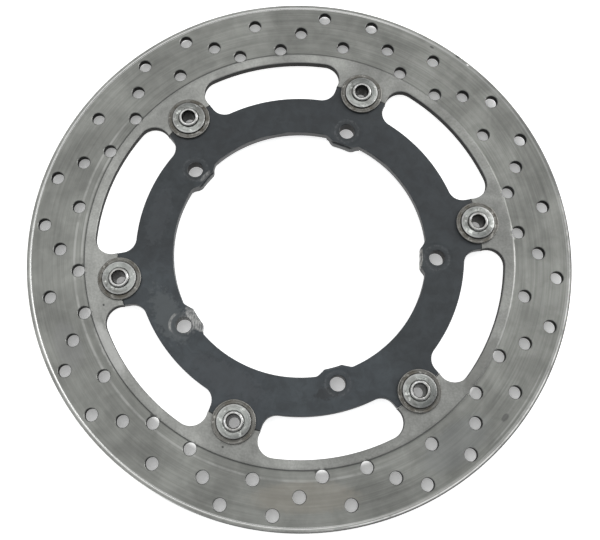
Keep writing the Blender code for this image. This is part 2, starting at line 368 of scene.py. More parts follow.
def filled(outlines, loose):
    """(points, triangles) that fill what lies inside an odd number of outlines."""
    points, edges = [], []
    for outline in outlines:
        first, count = len(points), len(outline)
        points += outline
        edges += [(first + i, first + (i + 1) % count) for i in range(count)]
    walls = {tuple(sorted(edge)) for edge in edges}
    made = delaunay_2d_cdt([Vector(p) for p in points + loose], edges, [], 0, 1e-6)
    triangles = [tuple(face) for face in made[2]]

    sides = {}
    for index, (a, b, c) in enumerate(triangles):
        for side in ((a, b), (b, c), (c, a)):
            sides.setdefault(tuple(sorted(side)), []).append(index)
    inside, waiting = {}, []
    for side, owners in sides.items():
        if len(owners) == 1 and owners[0] not in inside:
            inside[owners[0]] = side in walls
            waiting.append(owners[0])
    while waiting:
        index = waiting.pop()
        a, b, c = triangles[index]
        for side in ((a, b), (b, c), (c, a)):
            key = tuple(sorted(side))
            for other in sides[key]:
                if other not in inside:
                    inside[other] = inside[index] != (key in walls)
                    waiting.append(other)
    return [tuple(p) for p in made[0]], [t for i, t in enumerate(triangles) if inside[i]]


def outward(points, triangles):
    """{corner: flat vector out of the plate} for every corner on an edge of it, and those edges."""
    once = set()
    for a, b, c in triangles:
        for side in ((a, b), (b, c), (c, a)):
            if side[::-1] in once:
                once.remove(side[::-1])
            else:
                once.add(side)
    normals = {}
    for a, b in once:
        along = Vector(points[b]) - Vector(points[a])
        out = Vector((along.y, -along.x)).normalized()
        normals.setdefault(a, []).append(out)
        normals.setdefault(b, []).append(out)
    mitred = {}
    for corner, both in normals.items():
        out = sum(both, Vector((0.0, 0.0))).normalized()
        mitred[corner] = out / max(0.5, out.dot(both[0]))
    return mitred, sorted(once)


def clear_of(points, outlines, least):
    """The points that lie at least this far from every outline's corners."""
    corners = [p for outline in outlines for p in outline]
    tree = KDTree(len(corners))
    for i, (x, y) in enumerate(corners):
        tree.insert((x, y, 0.0), i)
    tree.balance()
    return [p for p in points if tree.find((*p, 0.0))[2] > least]


def thick_plate(outlines, loose, front, back, chamfer):
    """A bmesh of a plate with chamfered edges.

    front and back give its heights at a place, and chamfer the chamfer's width there.
    """
    points, triangles = filled(outlines, clear_of(loose, outlines, LEAST_TO_OUTLINE))
    out, edges = outward(points, triangles)
    shape = bmesh.new()

    def corner(place, height):
        return shape.verts.new((*place, height))

    tops, bottoms, upper, lower = {}, {}, {}, {}
    for i in sorted({i for t in triangles for i in t}):
        x, y = points[i]
        if i in out:
            width = chamfer(x, y)
            inner = Vector((x, y)) - out[i] * width
            tops[i] = corner(inner, front(*inner))
            bottoms[i] = corner(inner, back(*inner))
            upper[i] = corner((x, y), front(*inner) - width)
            lower[i] = corner((x, y), back(*inner) + width)
        else:
            tops[i] = corner((x, y), front(x, y))
            bottoms[i] = corner((x, y), back(x, y))
    for a, b, c in triangles:
        shape.faces.new((tops[a], tops[b], tops[c]))
        shape.faces.new((bottoms[c], bottoms[b], bottoms[a]))
    for a, b in edges:
        for high, low in ((tops, upper), (upper, lower), (lower, bottoms)):
            shape.faces.new((high[a], low[a], low[b], high[b]))
    return shape


def rounded(corners, steps=6):
    """A closed profile from (radius, height, rounding) corners, outer side first and downwards."""
    profile = []
    for i, (r, z, rounding) in enumerate(corners):
        here = Vector((r, z))
        if rounding == 0:
            profile.append(here)
            continue
        before = (Vector(corners[i - 1][:2]) - here).normalized()
        after = (Vector(corners[(i + 1) % len(corners)][:2]) - here).normalized()
        half = before.angle(after) / 2
        centre = here + (before + after).normalized() * (rounding / sin(half))
        start = here + before * (rounding / tan(half)) - centre
        end = here + after * (rounding / tan(half)) - centre
        for k in range(steps + 1):
            profile.append(centre + start.slerp(end, k / steps).normalized() * rounding)
    return profile


def lathe(profile, steps=TURNED_STEPS):
    """A bmesh of the closed profile turned about the Z axis."""
    shape = bmesh.new()
    turns = []
    for k in range(steps):
        c, s = cos(tau * k / steps), sin(tau * k / steps)
        turns.append([shape.verts.new((c * r, s * r, z)) for r, z in profile])
    for k, these in enumerate(turns):
        following = turns[(k + 1) % steps]
        for i, corner in enumerate(these):
            after = (i + 1) % len(profile)
            shape.faces.new((corner, these[after], following[after], following[i]))
    bmesh.ops.remove_doubles(shape, verts=shape.verts, dist=1e-5)
    return shape


def boolean(obj, other, operation):
    """Applies the Boolean and removes the other object."""
    modifier = obj.modifiers.new(operation, "BOOLEAN")
    modifier.solver = "EXACT"
    modifier.operation = operation
    modifier.object = other
    bpy.context.view_layer.update()
    graph = bpy.context.evaluated_depsgraph_get()
    mesh = bpy.data.meshes.new_from_object(obj.evaluated_get(graph))
    obj.modifiers.clear()
    obj.data = mesh
    bpy.data.objects.remove(other, do_unlink=True)


def place_all(shape, places):
    """A bmesh with a copy of the shape at each of the flat places."""
    mesh = bpy.data.meshes.new("one")
    shape.to_mesh(mesh)
    shape.free()
    every = bmesh.new()
    for x, y in places:
        first = len(every.verts)
        every.from_mesh(mesh)
        every.verts.ensure_lookup_table()
        bmesh.ops.translate(every, verts=every.verts[first:], vec=(x, y, 0.0))
    bpy.data.meshes.remove(mesh)
    return every


# Friction ring


def share(value, low, high):
    """How far a value has come from low to high, from 0 to 1."""
    return min(1.0, max(0.0, (value - low) / (high - low)))


def worn(r):
    """1 inside the band that the pads have worn, 0 outside it."""
    half = BAND_SLOPE / 2
    outer = share(r, BAND_OUTER_R + half, BAND_OUTER_R - half)
    inner = share(r, BAND_INNER_R - half, BAND_INNER_R + half)
    return eased(min(outer, inner))


def ripple(r, phase):
    """The shallow grooves that the pads leave, in millimetres."""
    slow = sin(tau * r / 7.3 + phase) + 0.7 * sin(tau * r / 4.1 + 2.1 * phase)
    return GROOVE_DEPTH * slow + FINE_GROOVE_DEPTH * sin(tau * r / 2.3 + 3.7 * phase)


def ring_front(x, y):
    r = hypot(x, y)
    return PLATE_FRONT - worn(r) * (BAND_DEPTH + ripple(r, 0.4))


def ring_back(x, y):
    r = hypot(x, y)
    return PLATE_BACK + worn(r) * (BAND_DEPTH + ripple(r, 1.9))


def ring_chamfer(x, y):
    return RIM_CHAMFER if hypot(x, y) > BAND_OUTER_R else HOLE_CHAMFER


def ring_grid():
    """Places on circles about the axis: close together across the band's edges, and wider elsewhere."""
    half = BAND_SLOPE / 2
    radii = [LUG_TIP_R + 2.0 * i for i in range(1, 9)]
    radii += [BAND_INNER_R + half * t for t in BAND_EDGE_PLACES]
    first = BAND_INNER_R + half + 0.6
    last = BAND_OUTER_R - half - 0.5
    count = round((last - first) / BAND_STEP)
    radii += [first + (last - first) * i / count for i in range(count + 1)]
    radii += [BAND_OUTER_R + half * t for t in BAND_EDGE_PLACES]
    return [place for radius in radii for place in circle(radius, RING_COLUMNS)]


def friction_ring():
    outlines = [circle(RING_R, 2 * RING_COLUMNS), ring_inner_edge()]
    outlines += [circle(HOLE_R, HOLE_STEPS, place) for place in hole_places()]
    ring = object_from(
        "friction_ring", thick_plate(outlines, ring_grid(), ring_front, ring_back, ring_chamfer)
    )
    shade(ring)
    return ring


# Carrier


def lead_in_profile():
    """What the bosses' bevel takes away behind the pilot faces."""
    inner_r = PILOT_R - 2 * LEAD_IN_PAST
    top = LEAD_IN + LEAD_IN_PAST
    return [
        Vector((PILOT_R - LEAD_IN_PAST, top)),
        Vector((PILOT_R + top, -LEAD_IN_PAST)),
        Vector((inner_r, -LEAD_IN_PAST)),
        Vector((inner_r, top)),
    ]


def drill_profile():
    """What one bolt hole and its spot face take away."""
    floor = PLATE_FRONT - SPOT_FACE_DEPTH
    front = PLATE_FRONT + DRILL_PAST
    wide_r = BOLT_HOLE_R + DRILL_CHAMFER
    return [
        Vector((SPOT_FACE_R + SPOT_FACE_SLOPE_OUT, front)),
        Vector((SPOT_FACE_R + SPOT_FACE_SLOPE_OUT, PLATE_FRONT)),
        Vector((SPOT_FACE_R - SPOT_FACE_SLOPE_IN, floor)),
        Vector((wide_r, floor)),
        Vector((BOLT_HOLE_R, floor - DRILL_CHAMFER)),
        Vector((BOLT_HOLE_R, DRILL_CHAMFER)),
        Vector((wide_r, 0.0)),
        Vector((wide_r, -DRILL_PAST)),
        Vector((0.0, -DRILL_PAST)),
        Vector((0.0, front)),
    ]


def carrier_grid():
    """Places on circles about the axis."""
    return [place for radius in range(68, 99, 2) for place in circle(float(radius), 300)]


def hub_carrier_plate():
    plate = thick_plate(
        [carrier_edge(), bore_edge()],
        carrier_grid(),
        lambda x, y: PLATE_FRONT,
        lambda x, y: PLATE_BACK,
        lambda x, y: CARRIER_CHAMFER,
    )
    carrier = object_from("hub_carrier_plate", plate)
    for i in range(BOLT_COUNT):
        angle = ALIGNED_ANGLE + i * BOLT_STEP
        shape = thick_plate(
            [turned_about(boss(), angle - pi / 2)],
            [],
            lambda x, y: BOSS_TOP,
            lambda x, y: 0.0,
            lambda x, y: BOSS_CHAMFER,
        )
        boolean(carrier, object_from("boss", shape), "UNION")
    lead_in = object_from("lead_in", lathe(lead_in_profile(), 360))
    boolean(carrier, lead_in, "DIFFERENCE")
    cutter = object_from("drill", place_all(lathe(drill_profile(), 64), bolt_places()))
    boolean(carrier, cutter, "DIFFERENCE")
    shade(carrier)
    return carrier


# Bobbins and washers


def bobbin_profile():
    collar_back = BOBBIN_TOP - COLLAR_THICK
    flange_top = FLANGE_BACK + FLANGE_THICK
    return rounded(
        [
            (COLLAR_R, BOBBIN_TOP, 0.7),
            (COLLAR_R, collar_back, 0.12),
            (NECK_R, collar_back, 0),
            (NECK_R, WASHER_LOW.z, 0),
            (BARREL_R, WASHER_LOW.z, 0.3),
            (BARREL_R, flange_top, 0),
            (FLANGE_R, flange_top, 0.3),
            (FLANGE_R, FLANGE_BACK, 0.5),
            (BOBBIN_HOLE_BACK_R, FLANGE_BACK, 0.4),
            (BOBBIN_HOLE_R, BOBBIN_TOP, 0.6),
        ]
    )


def flat_washer_profile():
    top, back = WASHER_HIGH.z, WASHER_LOW.z
    groove_back = top - WASHER_GROOVE_DEPTH
    inner_r = WASHER_GROOVE_R - WASHER_GROOVE_HALF_WIDTH
    outer_r = WASHER_GROOVE_R + WASHER_GROOVE_HALF_WIDTH
    return rounded(
        [
            (WASHER_R, top, 0.4),
            (WASHER_R, back, 0.25),
            (WASHER_HOLE_R, back, 0.15),
            (WASHER_HOLE_R, top, 0.15),
            (inner_r, top, 0),
            (inner_r + WASHER_GROOVE_SLOPE, groove_back, 0),
            (outer_r - WASHER_GROOVE_SLOPE, groove_back, 0),
            (outer_r, top, 0),
            (outer_r + 0.25, top, 0),
        ]
    )


def spring_washer_profile():
    top, back = SPRING_HIGH.z, SPRING_LOW.z
    return rounded(
        [
            (SPRING_R, back + SPRING_THICK, 0.25),
            (SPRING_R, back, 0.2),
            (WASHER_HOLE_R, top - SPRING_THICK, 0.15),
            (WASHER_HOLE_R, top, 0.15),
        ]
    )


# Materials


class Paint:
    """A material's node tree, with one short call for each kind of node."""

    def __init__(self, name):
        self.material = bpy.data.materials.new(name)
        self.material.use_nodes = True
        self.tree = self.material.node_tree
        self.shader = self.tree.nodes["Principled BSDF"]
        where = self.add("ShaderNodeTexCoord")
        self.place = where.outputs["Object"]
        apart = self.add("ShaderNodeSeparateXYZ", {0: self.place})
        x, y = apart.outputs[0], apart.outputs[1]
        self.height = self.calc("MULTIPLY", apart.outputs[2], 1 / MM)
        flat = self.add("ShaderNodeCombineXYZ", {0: x, 1: y, 2: 0.0})
        self.flat = flat.outputs[0]
        length = self.add("ShaderNodeVectorMath", {0: self.flat}, operation="LENGTH")
        self.radius = self.calc("MULTIPLY", length.outputs["Value"], 1 / MM)
        direction = self.add("ShaderNodeVectorMath", {0: self.flat}, operation="NORMALIZE")
        self.direction = direction.outputs[0]
        normal = self.add("ShaderNodeSeparateXYZ", {0: where.outputs["Normal"]})
        self.level = self.calc("ABSOLUTE", normal.outputs[2])
        self.ragged = self.grain(420.0, 4.0, roughness=0.6)

    def add(self, kind, inputs=None, **settings):
        node = self.tree.nodes.new(kind)
        for name, value in settings.items():
            setattr(node, name, value)
        for socket, value in (inputs or {}).items():
            self.feed(node.inputs[socket], value)
        return node

    def feed(self, socket, value):
        if isinstance(value, bpy.types.NodeSocket):
            self.tree.links.new(value, socket)
        else:
            socket.default_value = value

    def calc(self, operation, a, b=0.0, clamp=False):
        node = self.add("ShaderNodeMath", {0: a, 1: b}, operation=operation, use_clamp=clamp)
        return node.outputs[0]

    def times(self, a, b):
        return self.calc("MULTIPLY", a, b)

    def plus(self, a, b):
        return self.calc("ADD", a, b)

    def most(self, a, b):
        return self.calc("MAXIMUM", a, b)

    def plus_times(self, base, value, factor):
        """base + value * factor."""
        node = self.calc("MULTIPLY_ADD", value, factor).node
        self.feed(node.inputs[2], base)
        return node.outputs[0]

    def away(self, value, middle):
        """How far the value is from the middle."""
        return self.calc("ABSOLUTE", self.calc("SUBTRACT", value, middle))

    def between(self, value, low, high, start=0.0, end=1.0):
        """The value's way from low to high, as a smooth way from start to end."""
        node = self.add(
            "ShaderNodeMapRange",
            {0: value, 1: low, 2: high, 3: start, 4: end},
            interpolation_type="SMOOTHSTEP",
        )
        return node.outputs[0]

    def grain(self, scale, detail=2.0, where=None, stretch=None, roughness=0.5, distortion=0.0):
        """Noise from 0 to 1. scale is in features per metre."""
        vector = self.place if where is None else where
        if stretch is not None:
            vector = self.add(
                "ShaderNodeVectorMath", {0: vector, 1: stretch}, operation="MULTIPLY"
            ).outputs[0]
        node = self.add(
            "ShaderNodeTexNoise",
            {
                "Vector": vector,
                "Scale": scale,
                "Detail": detail,
                "Roughness": roughness,
                "Distortion": distortion,
            },
        )
        return node.outputs[0]

    def around(self, turns, per_mm, detail=2.0, offset=0.0):
        """Noise drawn out along circles about the axis: turns is how fast it changes on the way round."""
        turned = self.add(
            "ShaderNodeVectorMath", {0: self.direction, 1: (turns,) * 3}, operation="MULTIPLY"
        )
        apart = self.add("ShaderNodeSeparateXYZ", {0: turned.outputs[0]})
        depth = self.plus_times(offset, self.radius, per_mm)
        where = self.add(
            "ShaderNodeCombineXYZ", {0: apart.outputs[0], 1: apart.outputs[1], 2: depth}
        )
        return self.grain(1.0, detail, where.outputs[0])

    def sector(self, degrees, half, least=0.0):
        """1 in the directions within this many degrees of one, and least in the others."""
        x, y = on_circle(1.0, radians(degrees))
        node = self.add(
            "ShaderNodeVectorMath", {0: self.direction, 1: (x, y, 0.0)}, operation="DOT_PRODUCT"
        )
        low, high = cos(radians(half * 1.15)), cos(radians(half * 0.85))
        return self.between(node.outputs["Value"], low, high, least)

    def distance_to(self, places):
        """Millimetres to the nearest of some places on the disc."""
        nearest = None
        for x, y in places:
            node = self.add(
                "ShaderNodeVectorMath", {0: self.flat, 1: (x * MM, y * MM, 0.0)}, operation="DISTANCE"
            )
            here = self.calc("MULTIPLY", node.outputs["Value"], 1 / MM)
            nearest = here if nearest is None else self.calc("MINIMUM", nearest, here)
        return nearest

    def walls(self):
        """1 on upright surfaces."""
        return self.between(self.level, 0.6, 0.2)

    def chamfers(self):
        """1 on slanting surfaces."""
        return self.times(self.between(self.level, 0.25, 0.6), self.between(self.level, 0.97, 0.8))

    def mix(self, amount, a, b):
        node = self.add("ShaderNodeMix", {0: amount, 6: a, 7: b}, data_type="RGBA")
        return node.outputs[2]

    def scaled(self, colour, amount):
        """A colour made lighter or darker by a number."""
        node = self.add(
            "ShaderNodeVectorMath", {0: colour, "Scale": amount}, operation="SCALE"
        )
        return node.outputs[0]

    def blot(self, degrees, radius, radial, around, ragged=0.5):
        """1 inside a ragged oval at a place on the disc, and 0 away from it.

        radial and around are its half sizes, in millimetres.
        """
        x, y = on_circle(radius * MM, radians(degrees))
        oval = self.add(
            "ShaderNodeMapping",
            {
                "Vector": self.flat,
                "Location": (x, y, 0.0),
                "Rotation": (0.0, 0.0, radians(degrees)),
                "Scale": (radial * MM, around * MM, 1.0),
            },
            vector_type="TEXTURE",
        )
        away = self.add("ShaderNodeVectorMath", {0: oval.outputs[0]}, operation="LENGTH")
        uneven = self.plus_times(away.outputs["Value"], self.ragged, ragged)
        return self.between(uneven, 1.0 + ragged / 2, 0.6 + ragged / 2)

    def bump(self, height, depth_mm, strength=1.0):
        node = self.add(
            "ShaderNodeBump", {"Height": height, "Distance": depth_mm * MM, "Strength": strength}
        )
        self.feed(self.shader.inputs["Normal"], node.outputs[0])

    def finish(self, colour, roughness, metallic, anisotropic=0.0):
        self.feed(self.shader.inputs["Base Color"], colour)
        self.feed(self.shader.inputs["Roughness"], roughness)
        self.feed(self.shader.inputs["Metallic"], metallic)
        self.shader.inputs["Anisotropic"].default_value = anisotropic
        return self.material


def rgb(r, g, b):
    return (r, g, b, 1.0)


# Painted shade in the bobbins' holes and under the collars' and spring washers' edges
PAINTED_SHADE = rgb(0.025, 0.024, 0.022)

# radius, half width, the middle of the arc in degrees, half of the arc, colour, amount
RING_LINES = (
    (123.0, 0.9, 220, 75, rgb(0.55, 0.55, 0.53), 0.4),
    (119.0, 0.8, 172, 18, rgb(0.55, 0.55, 0.53), 0.4),
    (144.5, 0.6, 328, 10, rgb(0.55, 0.55, 0.53), 0.4),
    # A painted highlight on the inner step, on its side towards the key light
    (117.7, 0.6, 346, 24, rgb(0.60, 0.60, 0.58), 0.7),
    (147.8, 0.5, 327, 46, rgb(0.85, 0.85, 0.83), 1.0),
)
# degrees, radius, half size outwards, half size along, colour, amount
RING_MARKS = (
    (324, 140.5, 1.8, 3.0, rgb(0.09, 0.09, 0.09), 0.6),
    (56, 148.0, 0.7, 1.6, rgb(0.05, 0.05, 0.05), 0.8),
    (62, 144.5, 0.8, 1.6, rgb(0.07, 0.07, 0.07), 0.7),
    (53, 147.5, 0.5, 0.9, rgb(0.95, 0.95, 0.93), 0.9),
    (200, 110.0, 0.7, 0.9, rgb(0.05, 0.05, 0.05), 0.8),
    (253, 113.0, 0.6, 0.7, rgb(0.05, 0.05, 0.05), 0.8),
    (312, 132.0, 12.0, 26.0, rgb(0.25, 0.26, 0.26), 0.35),
    (207, 134.0, 9.0, 16.0, rgb(0.26, 0.26, 0.26), 0.3),
    (275, 131.0, 10.0, 34.0, rgb(0.34, 0.31, 0.26), 0.35),
    # The next two ovals are painted light at 212 degrees and painted shade at 331 degrees on the inner
    # land
    (212, 115.0, 4.5, 20.0, rgb(0.66, 0.66, 0.64), 0.5),
    (331, 115.0, 5.0, 22.0, rgb(0.17, 0.17, 0.16), 0.5),
)
# The same, on the carrier
CARRIER_SMUDGES = (
    (211, 79.5, 9.0, 19.0, rgb(0.105, 0.118, 0.122), 0.65),
    (245, 80.0, 9.0, 26.0, rgb(0.070, 0.078, 0.087), 0.45),
    (170, 80.0, 7.0, 20.0, rgb(0.068, 0.076, 0.084), 0.4),
    (284, 79.0, 4.0, 7.0, rgb(0.014, 0.015, 0.016), 0.6),
)
# degrees, radius, half size outwards, half size along, amount
BARE_PATCHES = (
    (217.5, 68.6, 3.4, 9.0, 0.8),
    (217.5, 73.6, 6.0, 6.0, 0.5),
    (145, 68.2, 1.4, 5.0, 0.45),
    (1.3, 66.3, 1.1, 6.5, 0.95),
)


def band_mask(paint):
    """1 on the band that the pads have worn."""
    half = BAND_SLOPE / 2
    outer = paint.between(paint.radius, BAND_OUTER_R + half, BAND_OUTER_R - half)
    inner = paint.between(paint.radius, BAND_INNER_R - half, BAND_INNER_R + half)
    return paint.times(outer, inner)


def circular_scoring(paint):
    """Circles about the axis at three scales, laid over each other."""
    broad = paint.around(2.5, 0.9, 3.0)
    fine = paint.around(5.0, 4.0, 2.0, 30.0)
    hair = paint.around(9.0, 11.0, 2.0, 70.0)
    scored = paint.plus(paint.times(broad, 0.5), paint.times(fine, 0.22))
    return paint.plus(scored, paint.times(hair, 0.28))


def ring_base(paint, band, scored, speckle):
    """The worn band's colour, and the unworn steel's beside it, with painted light that makes it lighter
    on the left.
    """
    band_colour = paint.mix(
        paint.between(scored, 0.36, 0.64), rgb(0.200, 0.204, 0.190), rgb(0.268, 0.272, 0.254)
    )
    land_colour = paint.mix(
        paint.between(speckle, 0.3, 0.7), rgb(0.30, 0.303, 0.287), rgb(0.35, 0.353, 0.335)
    )
    # Painted light: the unworn steel is lighter on the left
    painted_light_left = paint.between(paint.sector(180, 100), 0.0, 1.0, 0.92, 1.16)
    return paint.mix(band, paint.scaled(land_colour, painted_light_left), band_colour)


def ring_marks(paint, colour, mottle):
    """Thin bright circles, three where the pads' edges ran, one a painted highlight along the inner step
    and one on the lip; then single marks, two of them painted light and shade.
    """
    for radius, width, degrees, around, shade_of, amount in RING_LINES:
        thin = paint.between(paint.away(paint.radius, radius), width, width * 0.3)
        thin = paint.times(thin, paint.sector(degrees, around))
        patchy = paint.between(mottle, 0.3, 0.6, amount * 0.25, amount)
        colour = paint.mix(paint.times(thin, patchy), colour, shade_of)
    for degrees, radius, radial, around, shade_of, amount in RING_MARKS:
        mask = paint.times(paint.blot(degrees, radius, radial, around), amount)
        colour = paint.mix(mask, colour, shade_of)
    return colour


def ring_steel():
    paint = Paint("ring_steel")
    band = band_mask(paint)
    scored = circular_scoring(paint)
    clouds = paint.grain(22.0, 4.0, distortion=0.6)
    mottle = paint.grain(95.0, 4.0, roughness=0.6, distortion=0.4)
    speckle = paint.grain(900.0, 2.0)

    colour = ring_base(paint, band, scored, speckle)
    lip = paint.between(paint.radius, BAND_OUTER_R + 0.9, BAND_OUTER_R + 1.4)
    colour = paint.scaled(colour, paint.between(lip, 0.0, 1.0, 1.0, 0.82))
    colour = paint.scaled(colour, paint.between(clouds, 0.3, 0.7, 0.80, 1.18))
    colour = paint.scaled(colour, paint.between(mottle, 0.3, 0.7, 0.90, 1.12))
    colour = ring_marks(paint, colour, mottle)

    # Painted shade along the inner step on its side away from the key light, and a painted highlight on
    # the outer step's slope on the left
    corner = paint.between(paint.away(paint.radius, BAND_INNER_R + 0.1), 0.7, 0.2)
    corner = paint.times(corner, paint.sector(165, 125))
    colour = paint.mix(paint.times(corner, 0.38), colour, rgb(0.11, 0.11, 0.105))
    step = paint.between(paint.away(paint.radius, BAND_OUTER_R + 0.1), 0.55, 0.3)
    step = paint.times(step, paint.sector(178, 112, 0.2))
    colour = paint.mix(paint.times(step, 0.85), colour, rgb(0.72, 0.72, 0.70))

    # Painted highlight on the rim on the left, and painted shade on it at the lower right
    chamfers = paint.chamfers()
    colour = paint.mix(paint.times(chamfers, 0.35), colour, rgb(0.46, 0.46, 0.45))
    rim = paint.times(chamfers, paint.between(paint.radius, BAND_OUTER_R + 1.2, BAND_OUTER_R + 1.6))
    painted_rim_highlight = paint.times(rim, paint.sector(150, 105))
    painted_rim_shade = paint.times(paint.times(rim, paint.sector(318, 68)), 0.85)
    colour = paint.mix(painted_rim_highlight, colour, rgb(0.95, 0.95, 0.93))
    colour = paint.mix(painted_rim_shade, colour, rgb(0.12, 0.12, 0.117))

    # Painted shade darkens the walls of the holes and windows, which are also rougher and less metallic;
    # the ring's outer wall is left out
    painted_shade_walls = paint.times(paint.walls(), paint.between(paint.radius, RING_R - 0.4, RING_R - 0.8))
    wall_shade_colour = paint.mix(mottle, rgb(0.025, 0.025, 0.024), rgb(0.060, 0.059, 0.057))
    colour = paint.mix(painted_shade_walls, colour, wall_shade_colour)

    roughness = paint.plus(
        paint.between(scored, 0.3, 0.7, 0.36, 0.44), paint.times(clouds, 0.06)
    )
    land = paint.calc("SUBTRACT", 1.0, band)
    roughness = paint.plus(roughness, paint.times(land, 0.10))
    roughness = paint.plus(roughness, paint.times(painted_shade_walls, 0.6))
    polished = paint.most(paint.times(step, 0.2), paint.times(painted_rim_highlight, 0.26))
    roughness = paint.calc("SUBTRACT", roughness, polished, clamp=True)
    height = paint.plus(paint.times(scored, band), paint.times(speckle, 0.12))
    paint.bump(height, 0.02, 0.4)
    metallic = paint.between(painted_shade_walls, 0.0, 1.0, 1.0, 0.4)
    return paint.finish(colour, roughness, metallic, 0.25)


def bolt_seats(paint, colour, bolt, dust, mottle):
    """The seats that the bolts' heads have rubbed, with a ring of painted shade round each hole."""
    uneven = paint.plus_times(bolt, dust, 2.6)
    seat = paint.between(uneven, SPOT_FACE_R + 1.0, SPOT_FACE_R)
    seat = paint.times(seat, paint.between(uneven, 6.3, 8.2))
    rubbing = paint.between(paint.grain(520.0, 4.0, roughness=0.7), 0.42, 0.62, 0.05, 0.5)
    colour = paint.mix(paint.times(seat, rubbing), colour, rgb(0.13, 0.135, 0.14))
    painted_shade_ring = paint.between(bolt, 7.2, 5.0)
    painted_shade_ring = paint.times(painted_shade_ring, paint.between(mottle, 0.35, 0.6, 0.3, 0.9))
    return paint.mix(paint.times(painted_shade_ring, 0.3), colour, rgb(0.018, 0.020, 0.022))


def bare_metal(paint, bolt, dust):
    """1 where the carrier's black is gone: the hub faces, one pilot face and the worn patches."""
    bare = paint.between(paint.height, 0.5, 0.05)
    pilot = paint.between(paint.radius, PILOT_R + 0.7, PILOT_R + 0.2)
    pilot = paint.times(paint.times(pilot, paint.walls()), paint.sector(1.3, 20, 0.1))
    pilot = paint.times(pilot, paint.between(dust, 0.25, 0.45, 0.5, 1.0))
    bare = paint.most(bare, pilot)
    for degrees, radius, radial, around, amount in BARE_PATCHES:
        patch = paint.times(paint.blot(degrees, radius, radial, around, 0.9), amount)
        bare = paint.most(bare, patch)
    worn_seat = paint.times(paint.between(bolt, 6.4, 7.0), paint.between(bolt, 8.3, 7.8))
    worn_seat = paint.times(worn_seat, paint.blot(213.5, 79.5, 5.0, 7.0))
    return paint.most(bare, paint.times(worn_seat, 0.6))


def carrier_black():
    paint = Paint("carrier_black")
    clouds = paint.grain(26.0, 5.0, distortion=0.5)
    mottle = paint.grain(150.0, 5.0, roughness=0.65, distortion=0.5)
    pores = paint.grain(1500.0, 2.0)
    dust = paint.grain(60.0, 6.0, roughness=0.65)
    bolt = paint.distance_to(bolt_places())

    colour = paint.mix(
        paint.between(clouds, 0.3, 0.7), rgb(0.027, 0.0335, 0.039), rgb(0.044, 0.0525, 0.058)
    )
    colour = paint.scaled(colour, paint.between(mottle, 0.3, 0.7, 0.8, 1.25))
    # Painted light: the carrier is lighter towards the lower left
    colour = paint.scaled(colour, paint.between(paint.sector(250, 62), 0.0, 1.0, 0.84, 1.34))
    colour = paint.mix(
        paint.between(dust, 0.58, 0.85, 0.0, 0.3), colour, rgb(0.10, 0.105, 0.105)
    )
    for degrees, radius, radial, around, shade_of, amount in CARRIER_SMUDGES:
        smudge = paint.times(paint.blot(degrees, radius, radial, around, 1.6), amount)
        colour = paint.mix(smudge, colour, shade_of)
    colour = bolt_seats(paint, colour, bolt, dust, mottle)

    # Painted shade: darker walls, and nearly black walls in the bolt holes
    wall = paint.walls()
    colour = paint.mix(wall, colour, rgb(0.022, 0.023, 0.024))
    shaded_hole_walls = paint.times(wall, paint.between(bolt, 5.2, 4.8))
    colour = paint.mix(shaded_hole_walls, colour, rgb(0.005, 0.005, 0.006))
    worn_edge = paint.times(paint.chamfers(), paint.between(dust, 0.42, 0.66))
    colour = paint.mix(paint.times(worn_edge, 0.8), colour, rgb(0.26, 0.26, 0.255))

    bare = bare_metal(paint, bolt, dust)
    scratched = paint.grain(1500.0, 3.0, paint.flat, (1.0, 0.3, 1.0), 0.7)
    metal = paint.mix(
        paint.between(scratched, 0.35, 0.65), rgb(0.20, 0.20, 0.20), rgb(0.54, 0.54, 0.52)
    )
    colour = paint.mix(bare, colour, metal)
    metallic = paint.most(bare, paint.times(worn_edge, 0.8))
    roughness = paint.between(clouds, 0.2, 0.8, 0.42, 0.58)
    paint.bump(paint.plus(pores, paint.times(mottle, 0.5)), 0.015, 0.6)
    return paint.finish(colour, roughness, metallic)


def turned_steel(name, dark, light, roughness, brown, rings):
    """Steel turned on a lathe, with brown grime in places. rings are (from, to, colour, amount)."""
    paint = Paint(name)
    about = paint.add("ShaderNodeObjectInfo").outputs["Location"]
    moved = paint.add("ShaderNodeVectorMath", {0: paint.place, 1: about}, operation="ADD").outputs[0]
    marks = paint.around(1.5, 6.0, 2.0)
    clouds = paint.grain(150.0, 4.0, moved, distortion=0.8)
    spots = paint.grain(700.0, 3.0, moved)
    scratches = paint.grain(260.0, 5.0, moved, roughness=0.7)
    scratched = rgb(*(min(0.9, 1.9 * part) for part in light[:3]))
    spotted = rgb(*(0.4 * part for part in brown[:3]))

    colour = paint.mix(paint.between(marks, 0.3, 0.7), dark, light)
    colour = paint.mix(paint.between(clouds, 0.45, 0.68, 0.0, 0.6), colour, brown)
    colour = paint.mix(paint.between(scratches, 0.55, 0.66, 0.0, 0.85), colour, scratched)
    colour = paint.mix(paint.between(spots, 0.62, 0.72, 0.0, 0.6), colour, spotted)
    uneven = paint.plus_times(paint.radius, spots, 0.7)
    # Rings about each piece's axis, which paint shade and highlights
    for low, high, shade_of, amount in rings:
        inside = paint.between(uneven, low + 0.2, low + 0.5)
        inside = paint.times(inside, paint.between(uneven, high + 0.5, high + 0.2))
        colour = paint.mix(paint.times(inside, amount), colour, shade_of)

    rough = paint.plus(paint.between(clouds, 0.3, 0.7, 0.0, 0.14), roughness)
    paint.bump(paint.plus(marks, paint.times(spots, 0.3)), 0.012, 0.6)
    return paint.finish(colour, rough, 1.0, 0.3)


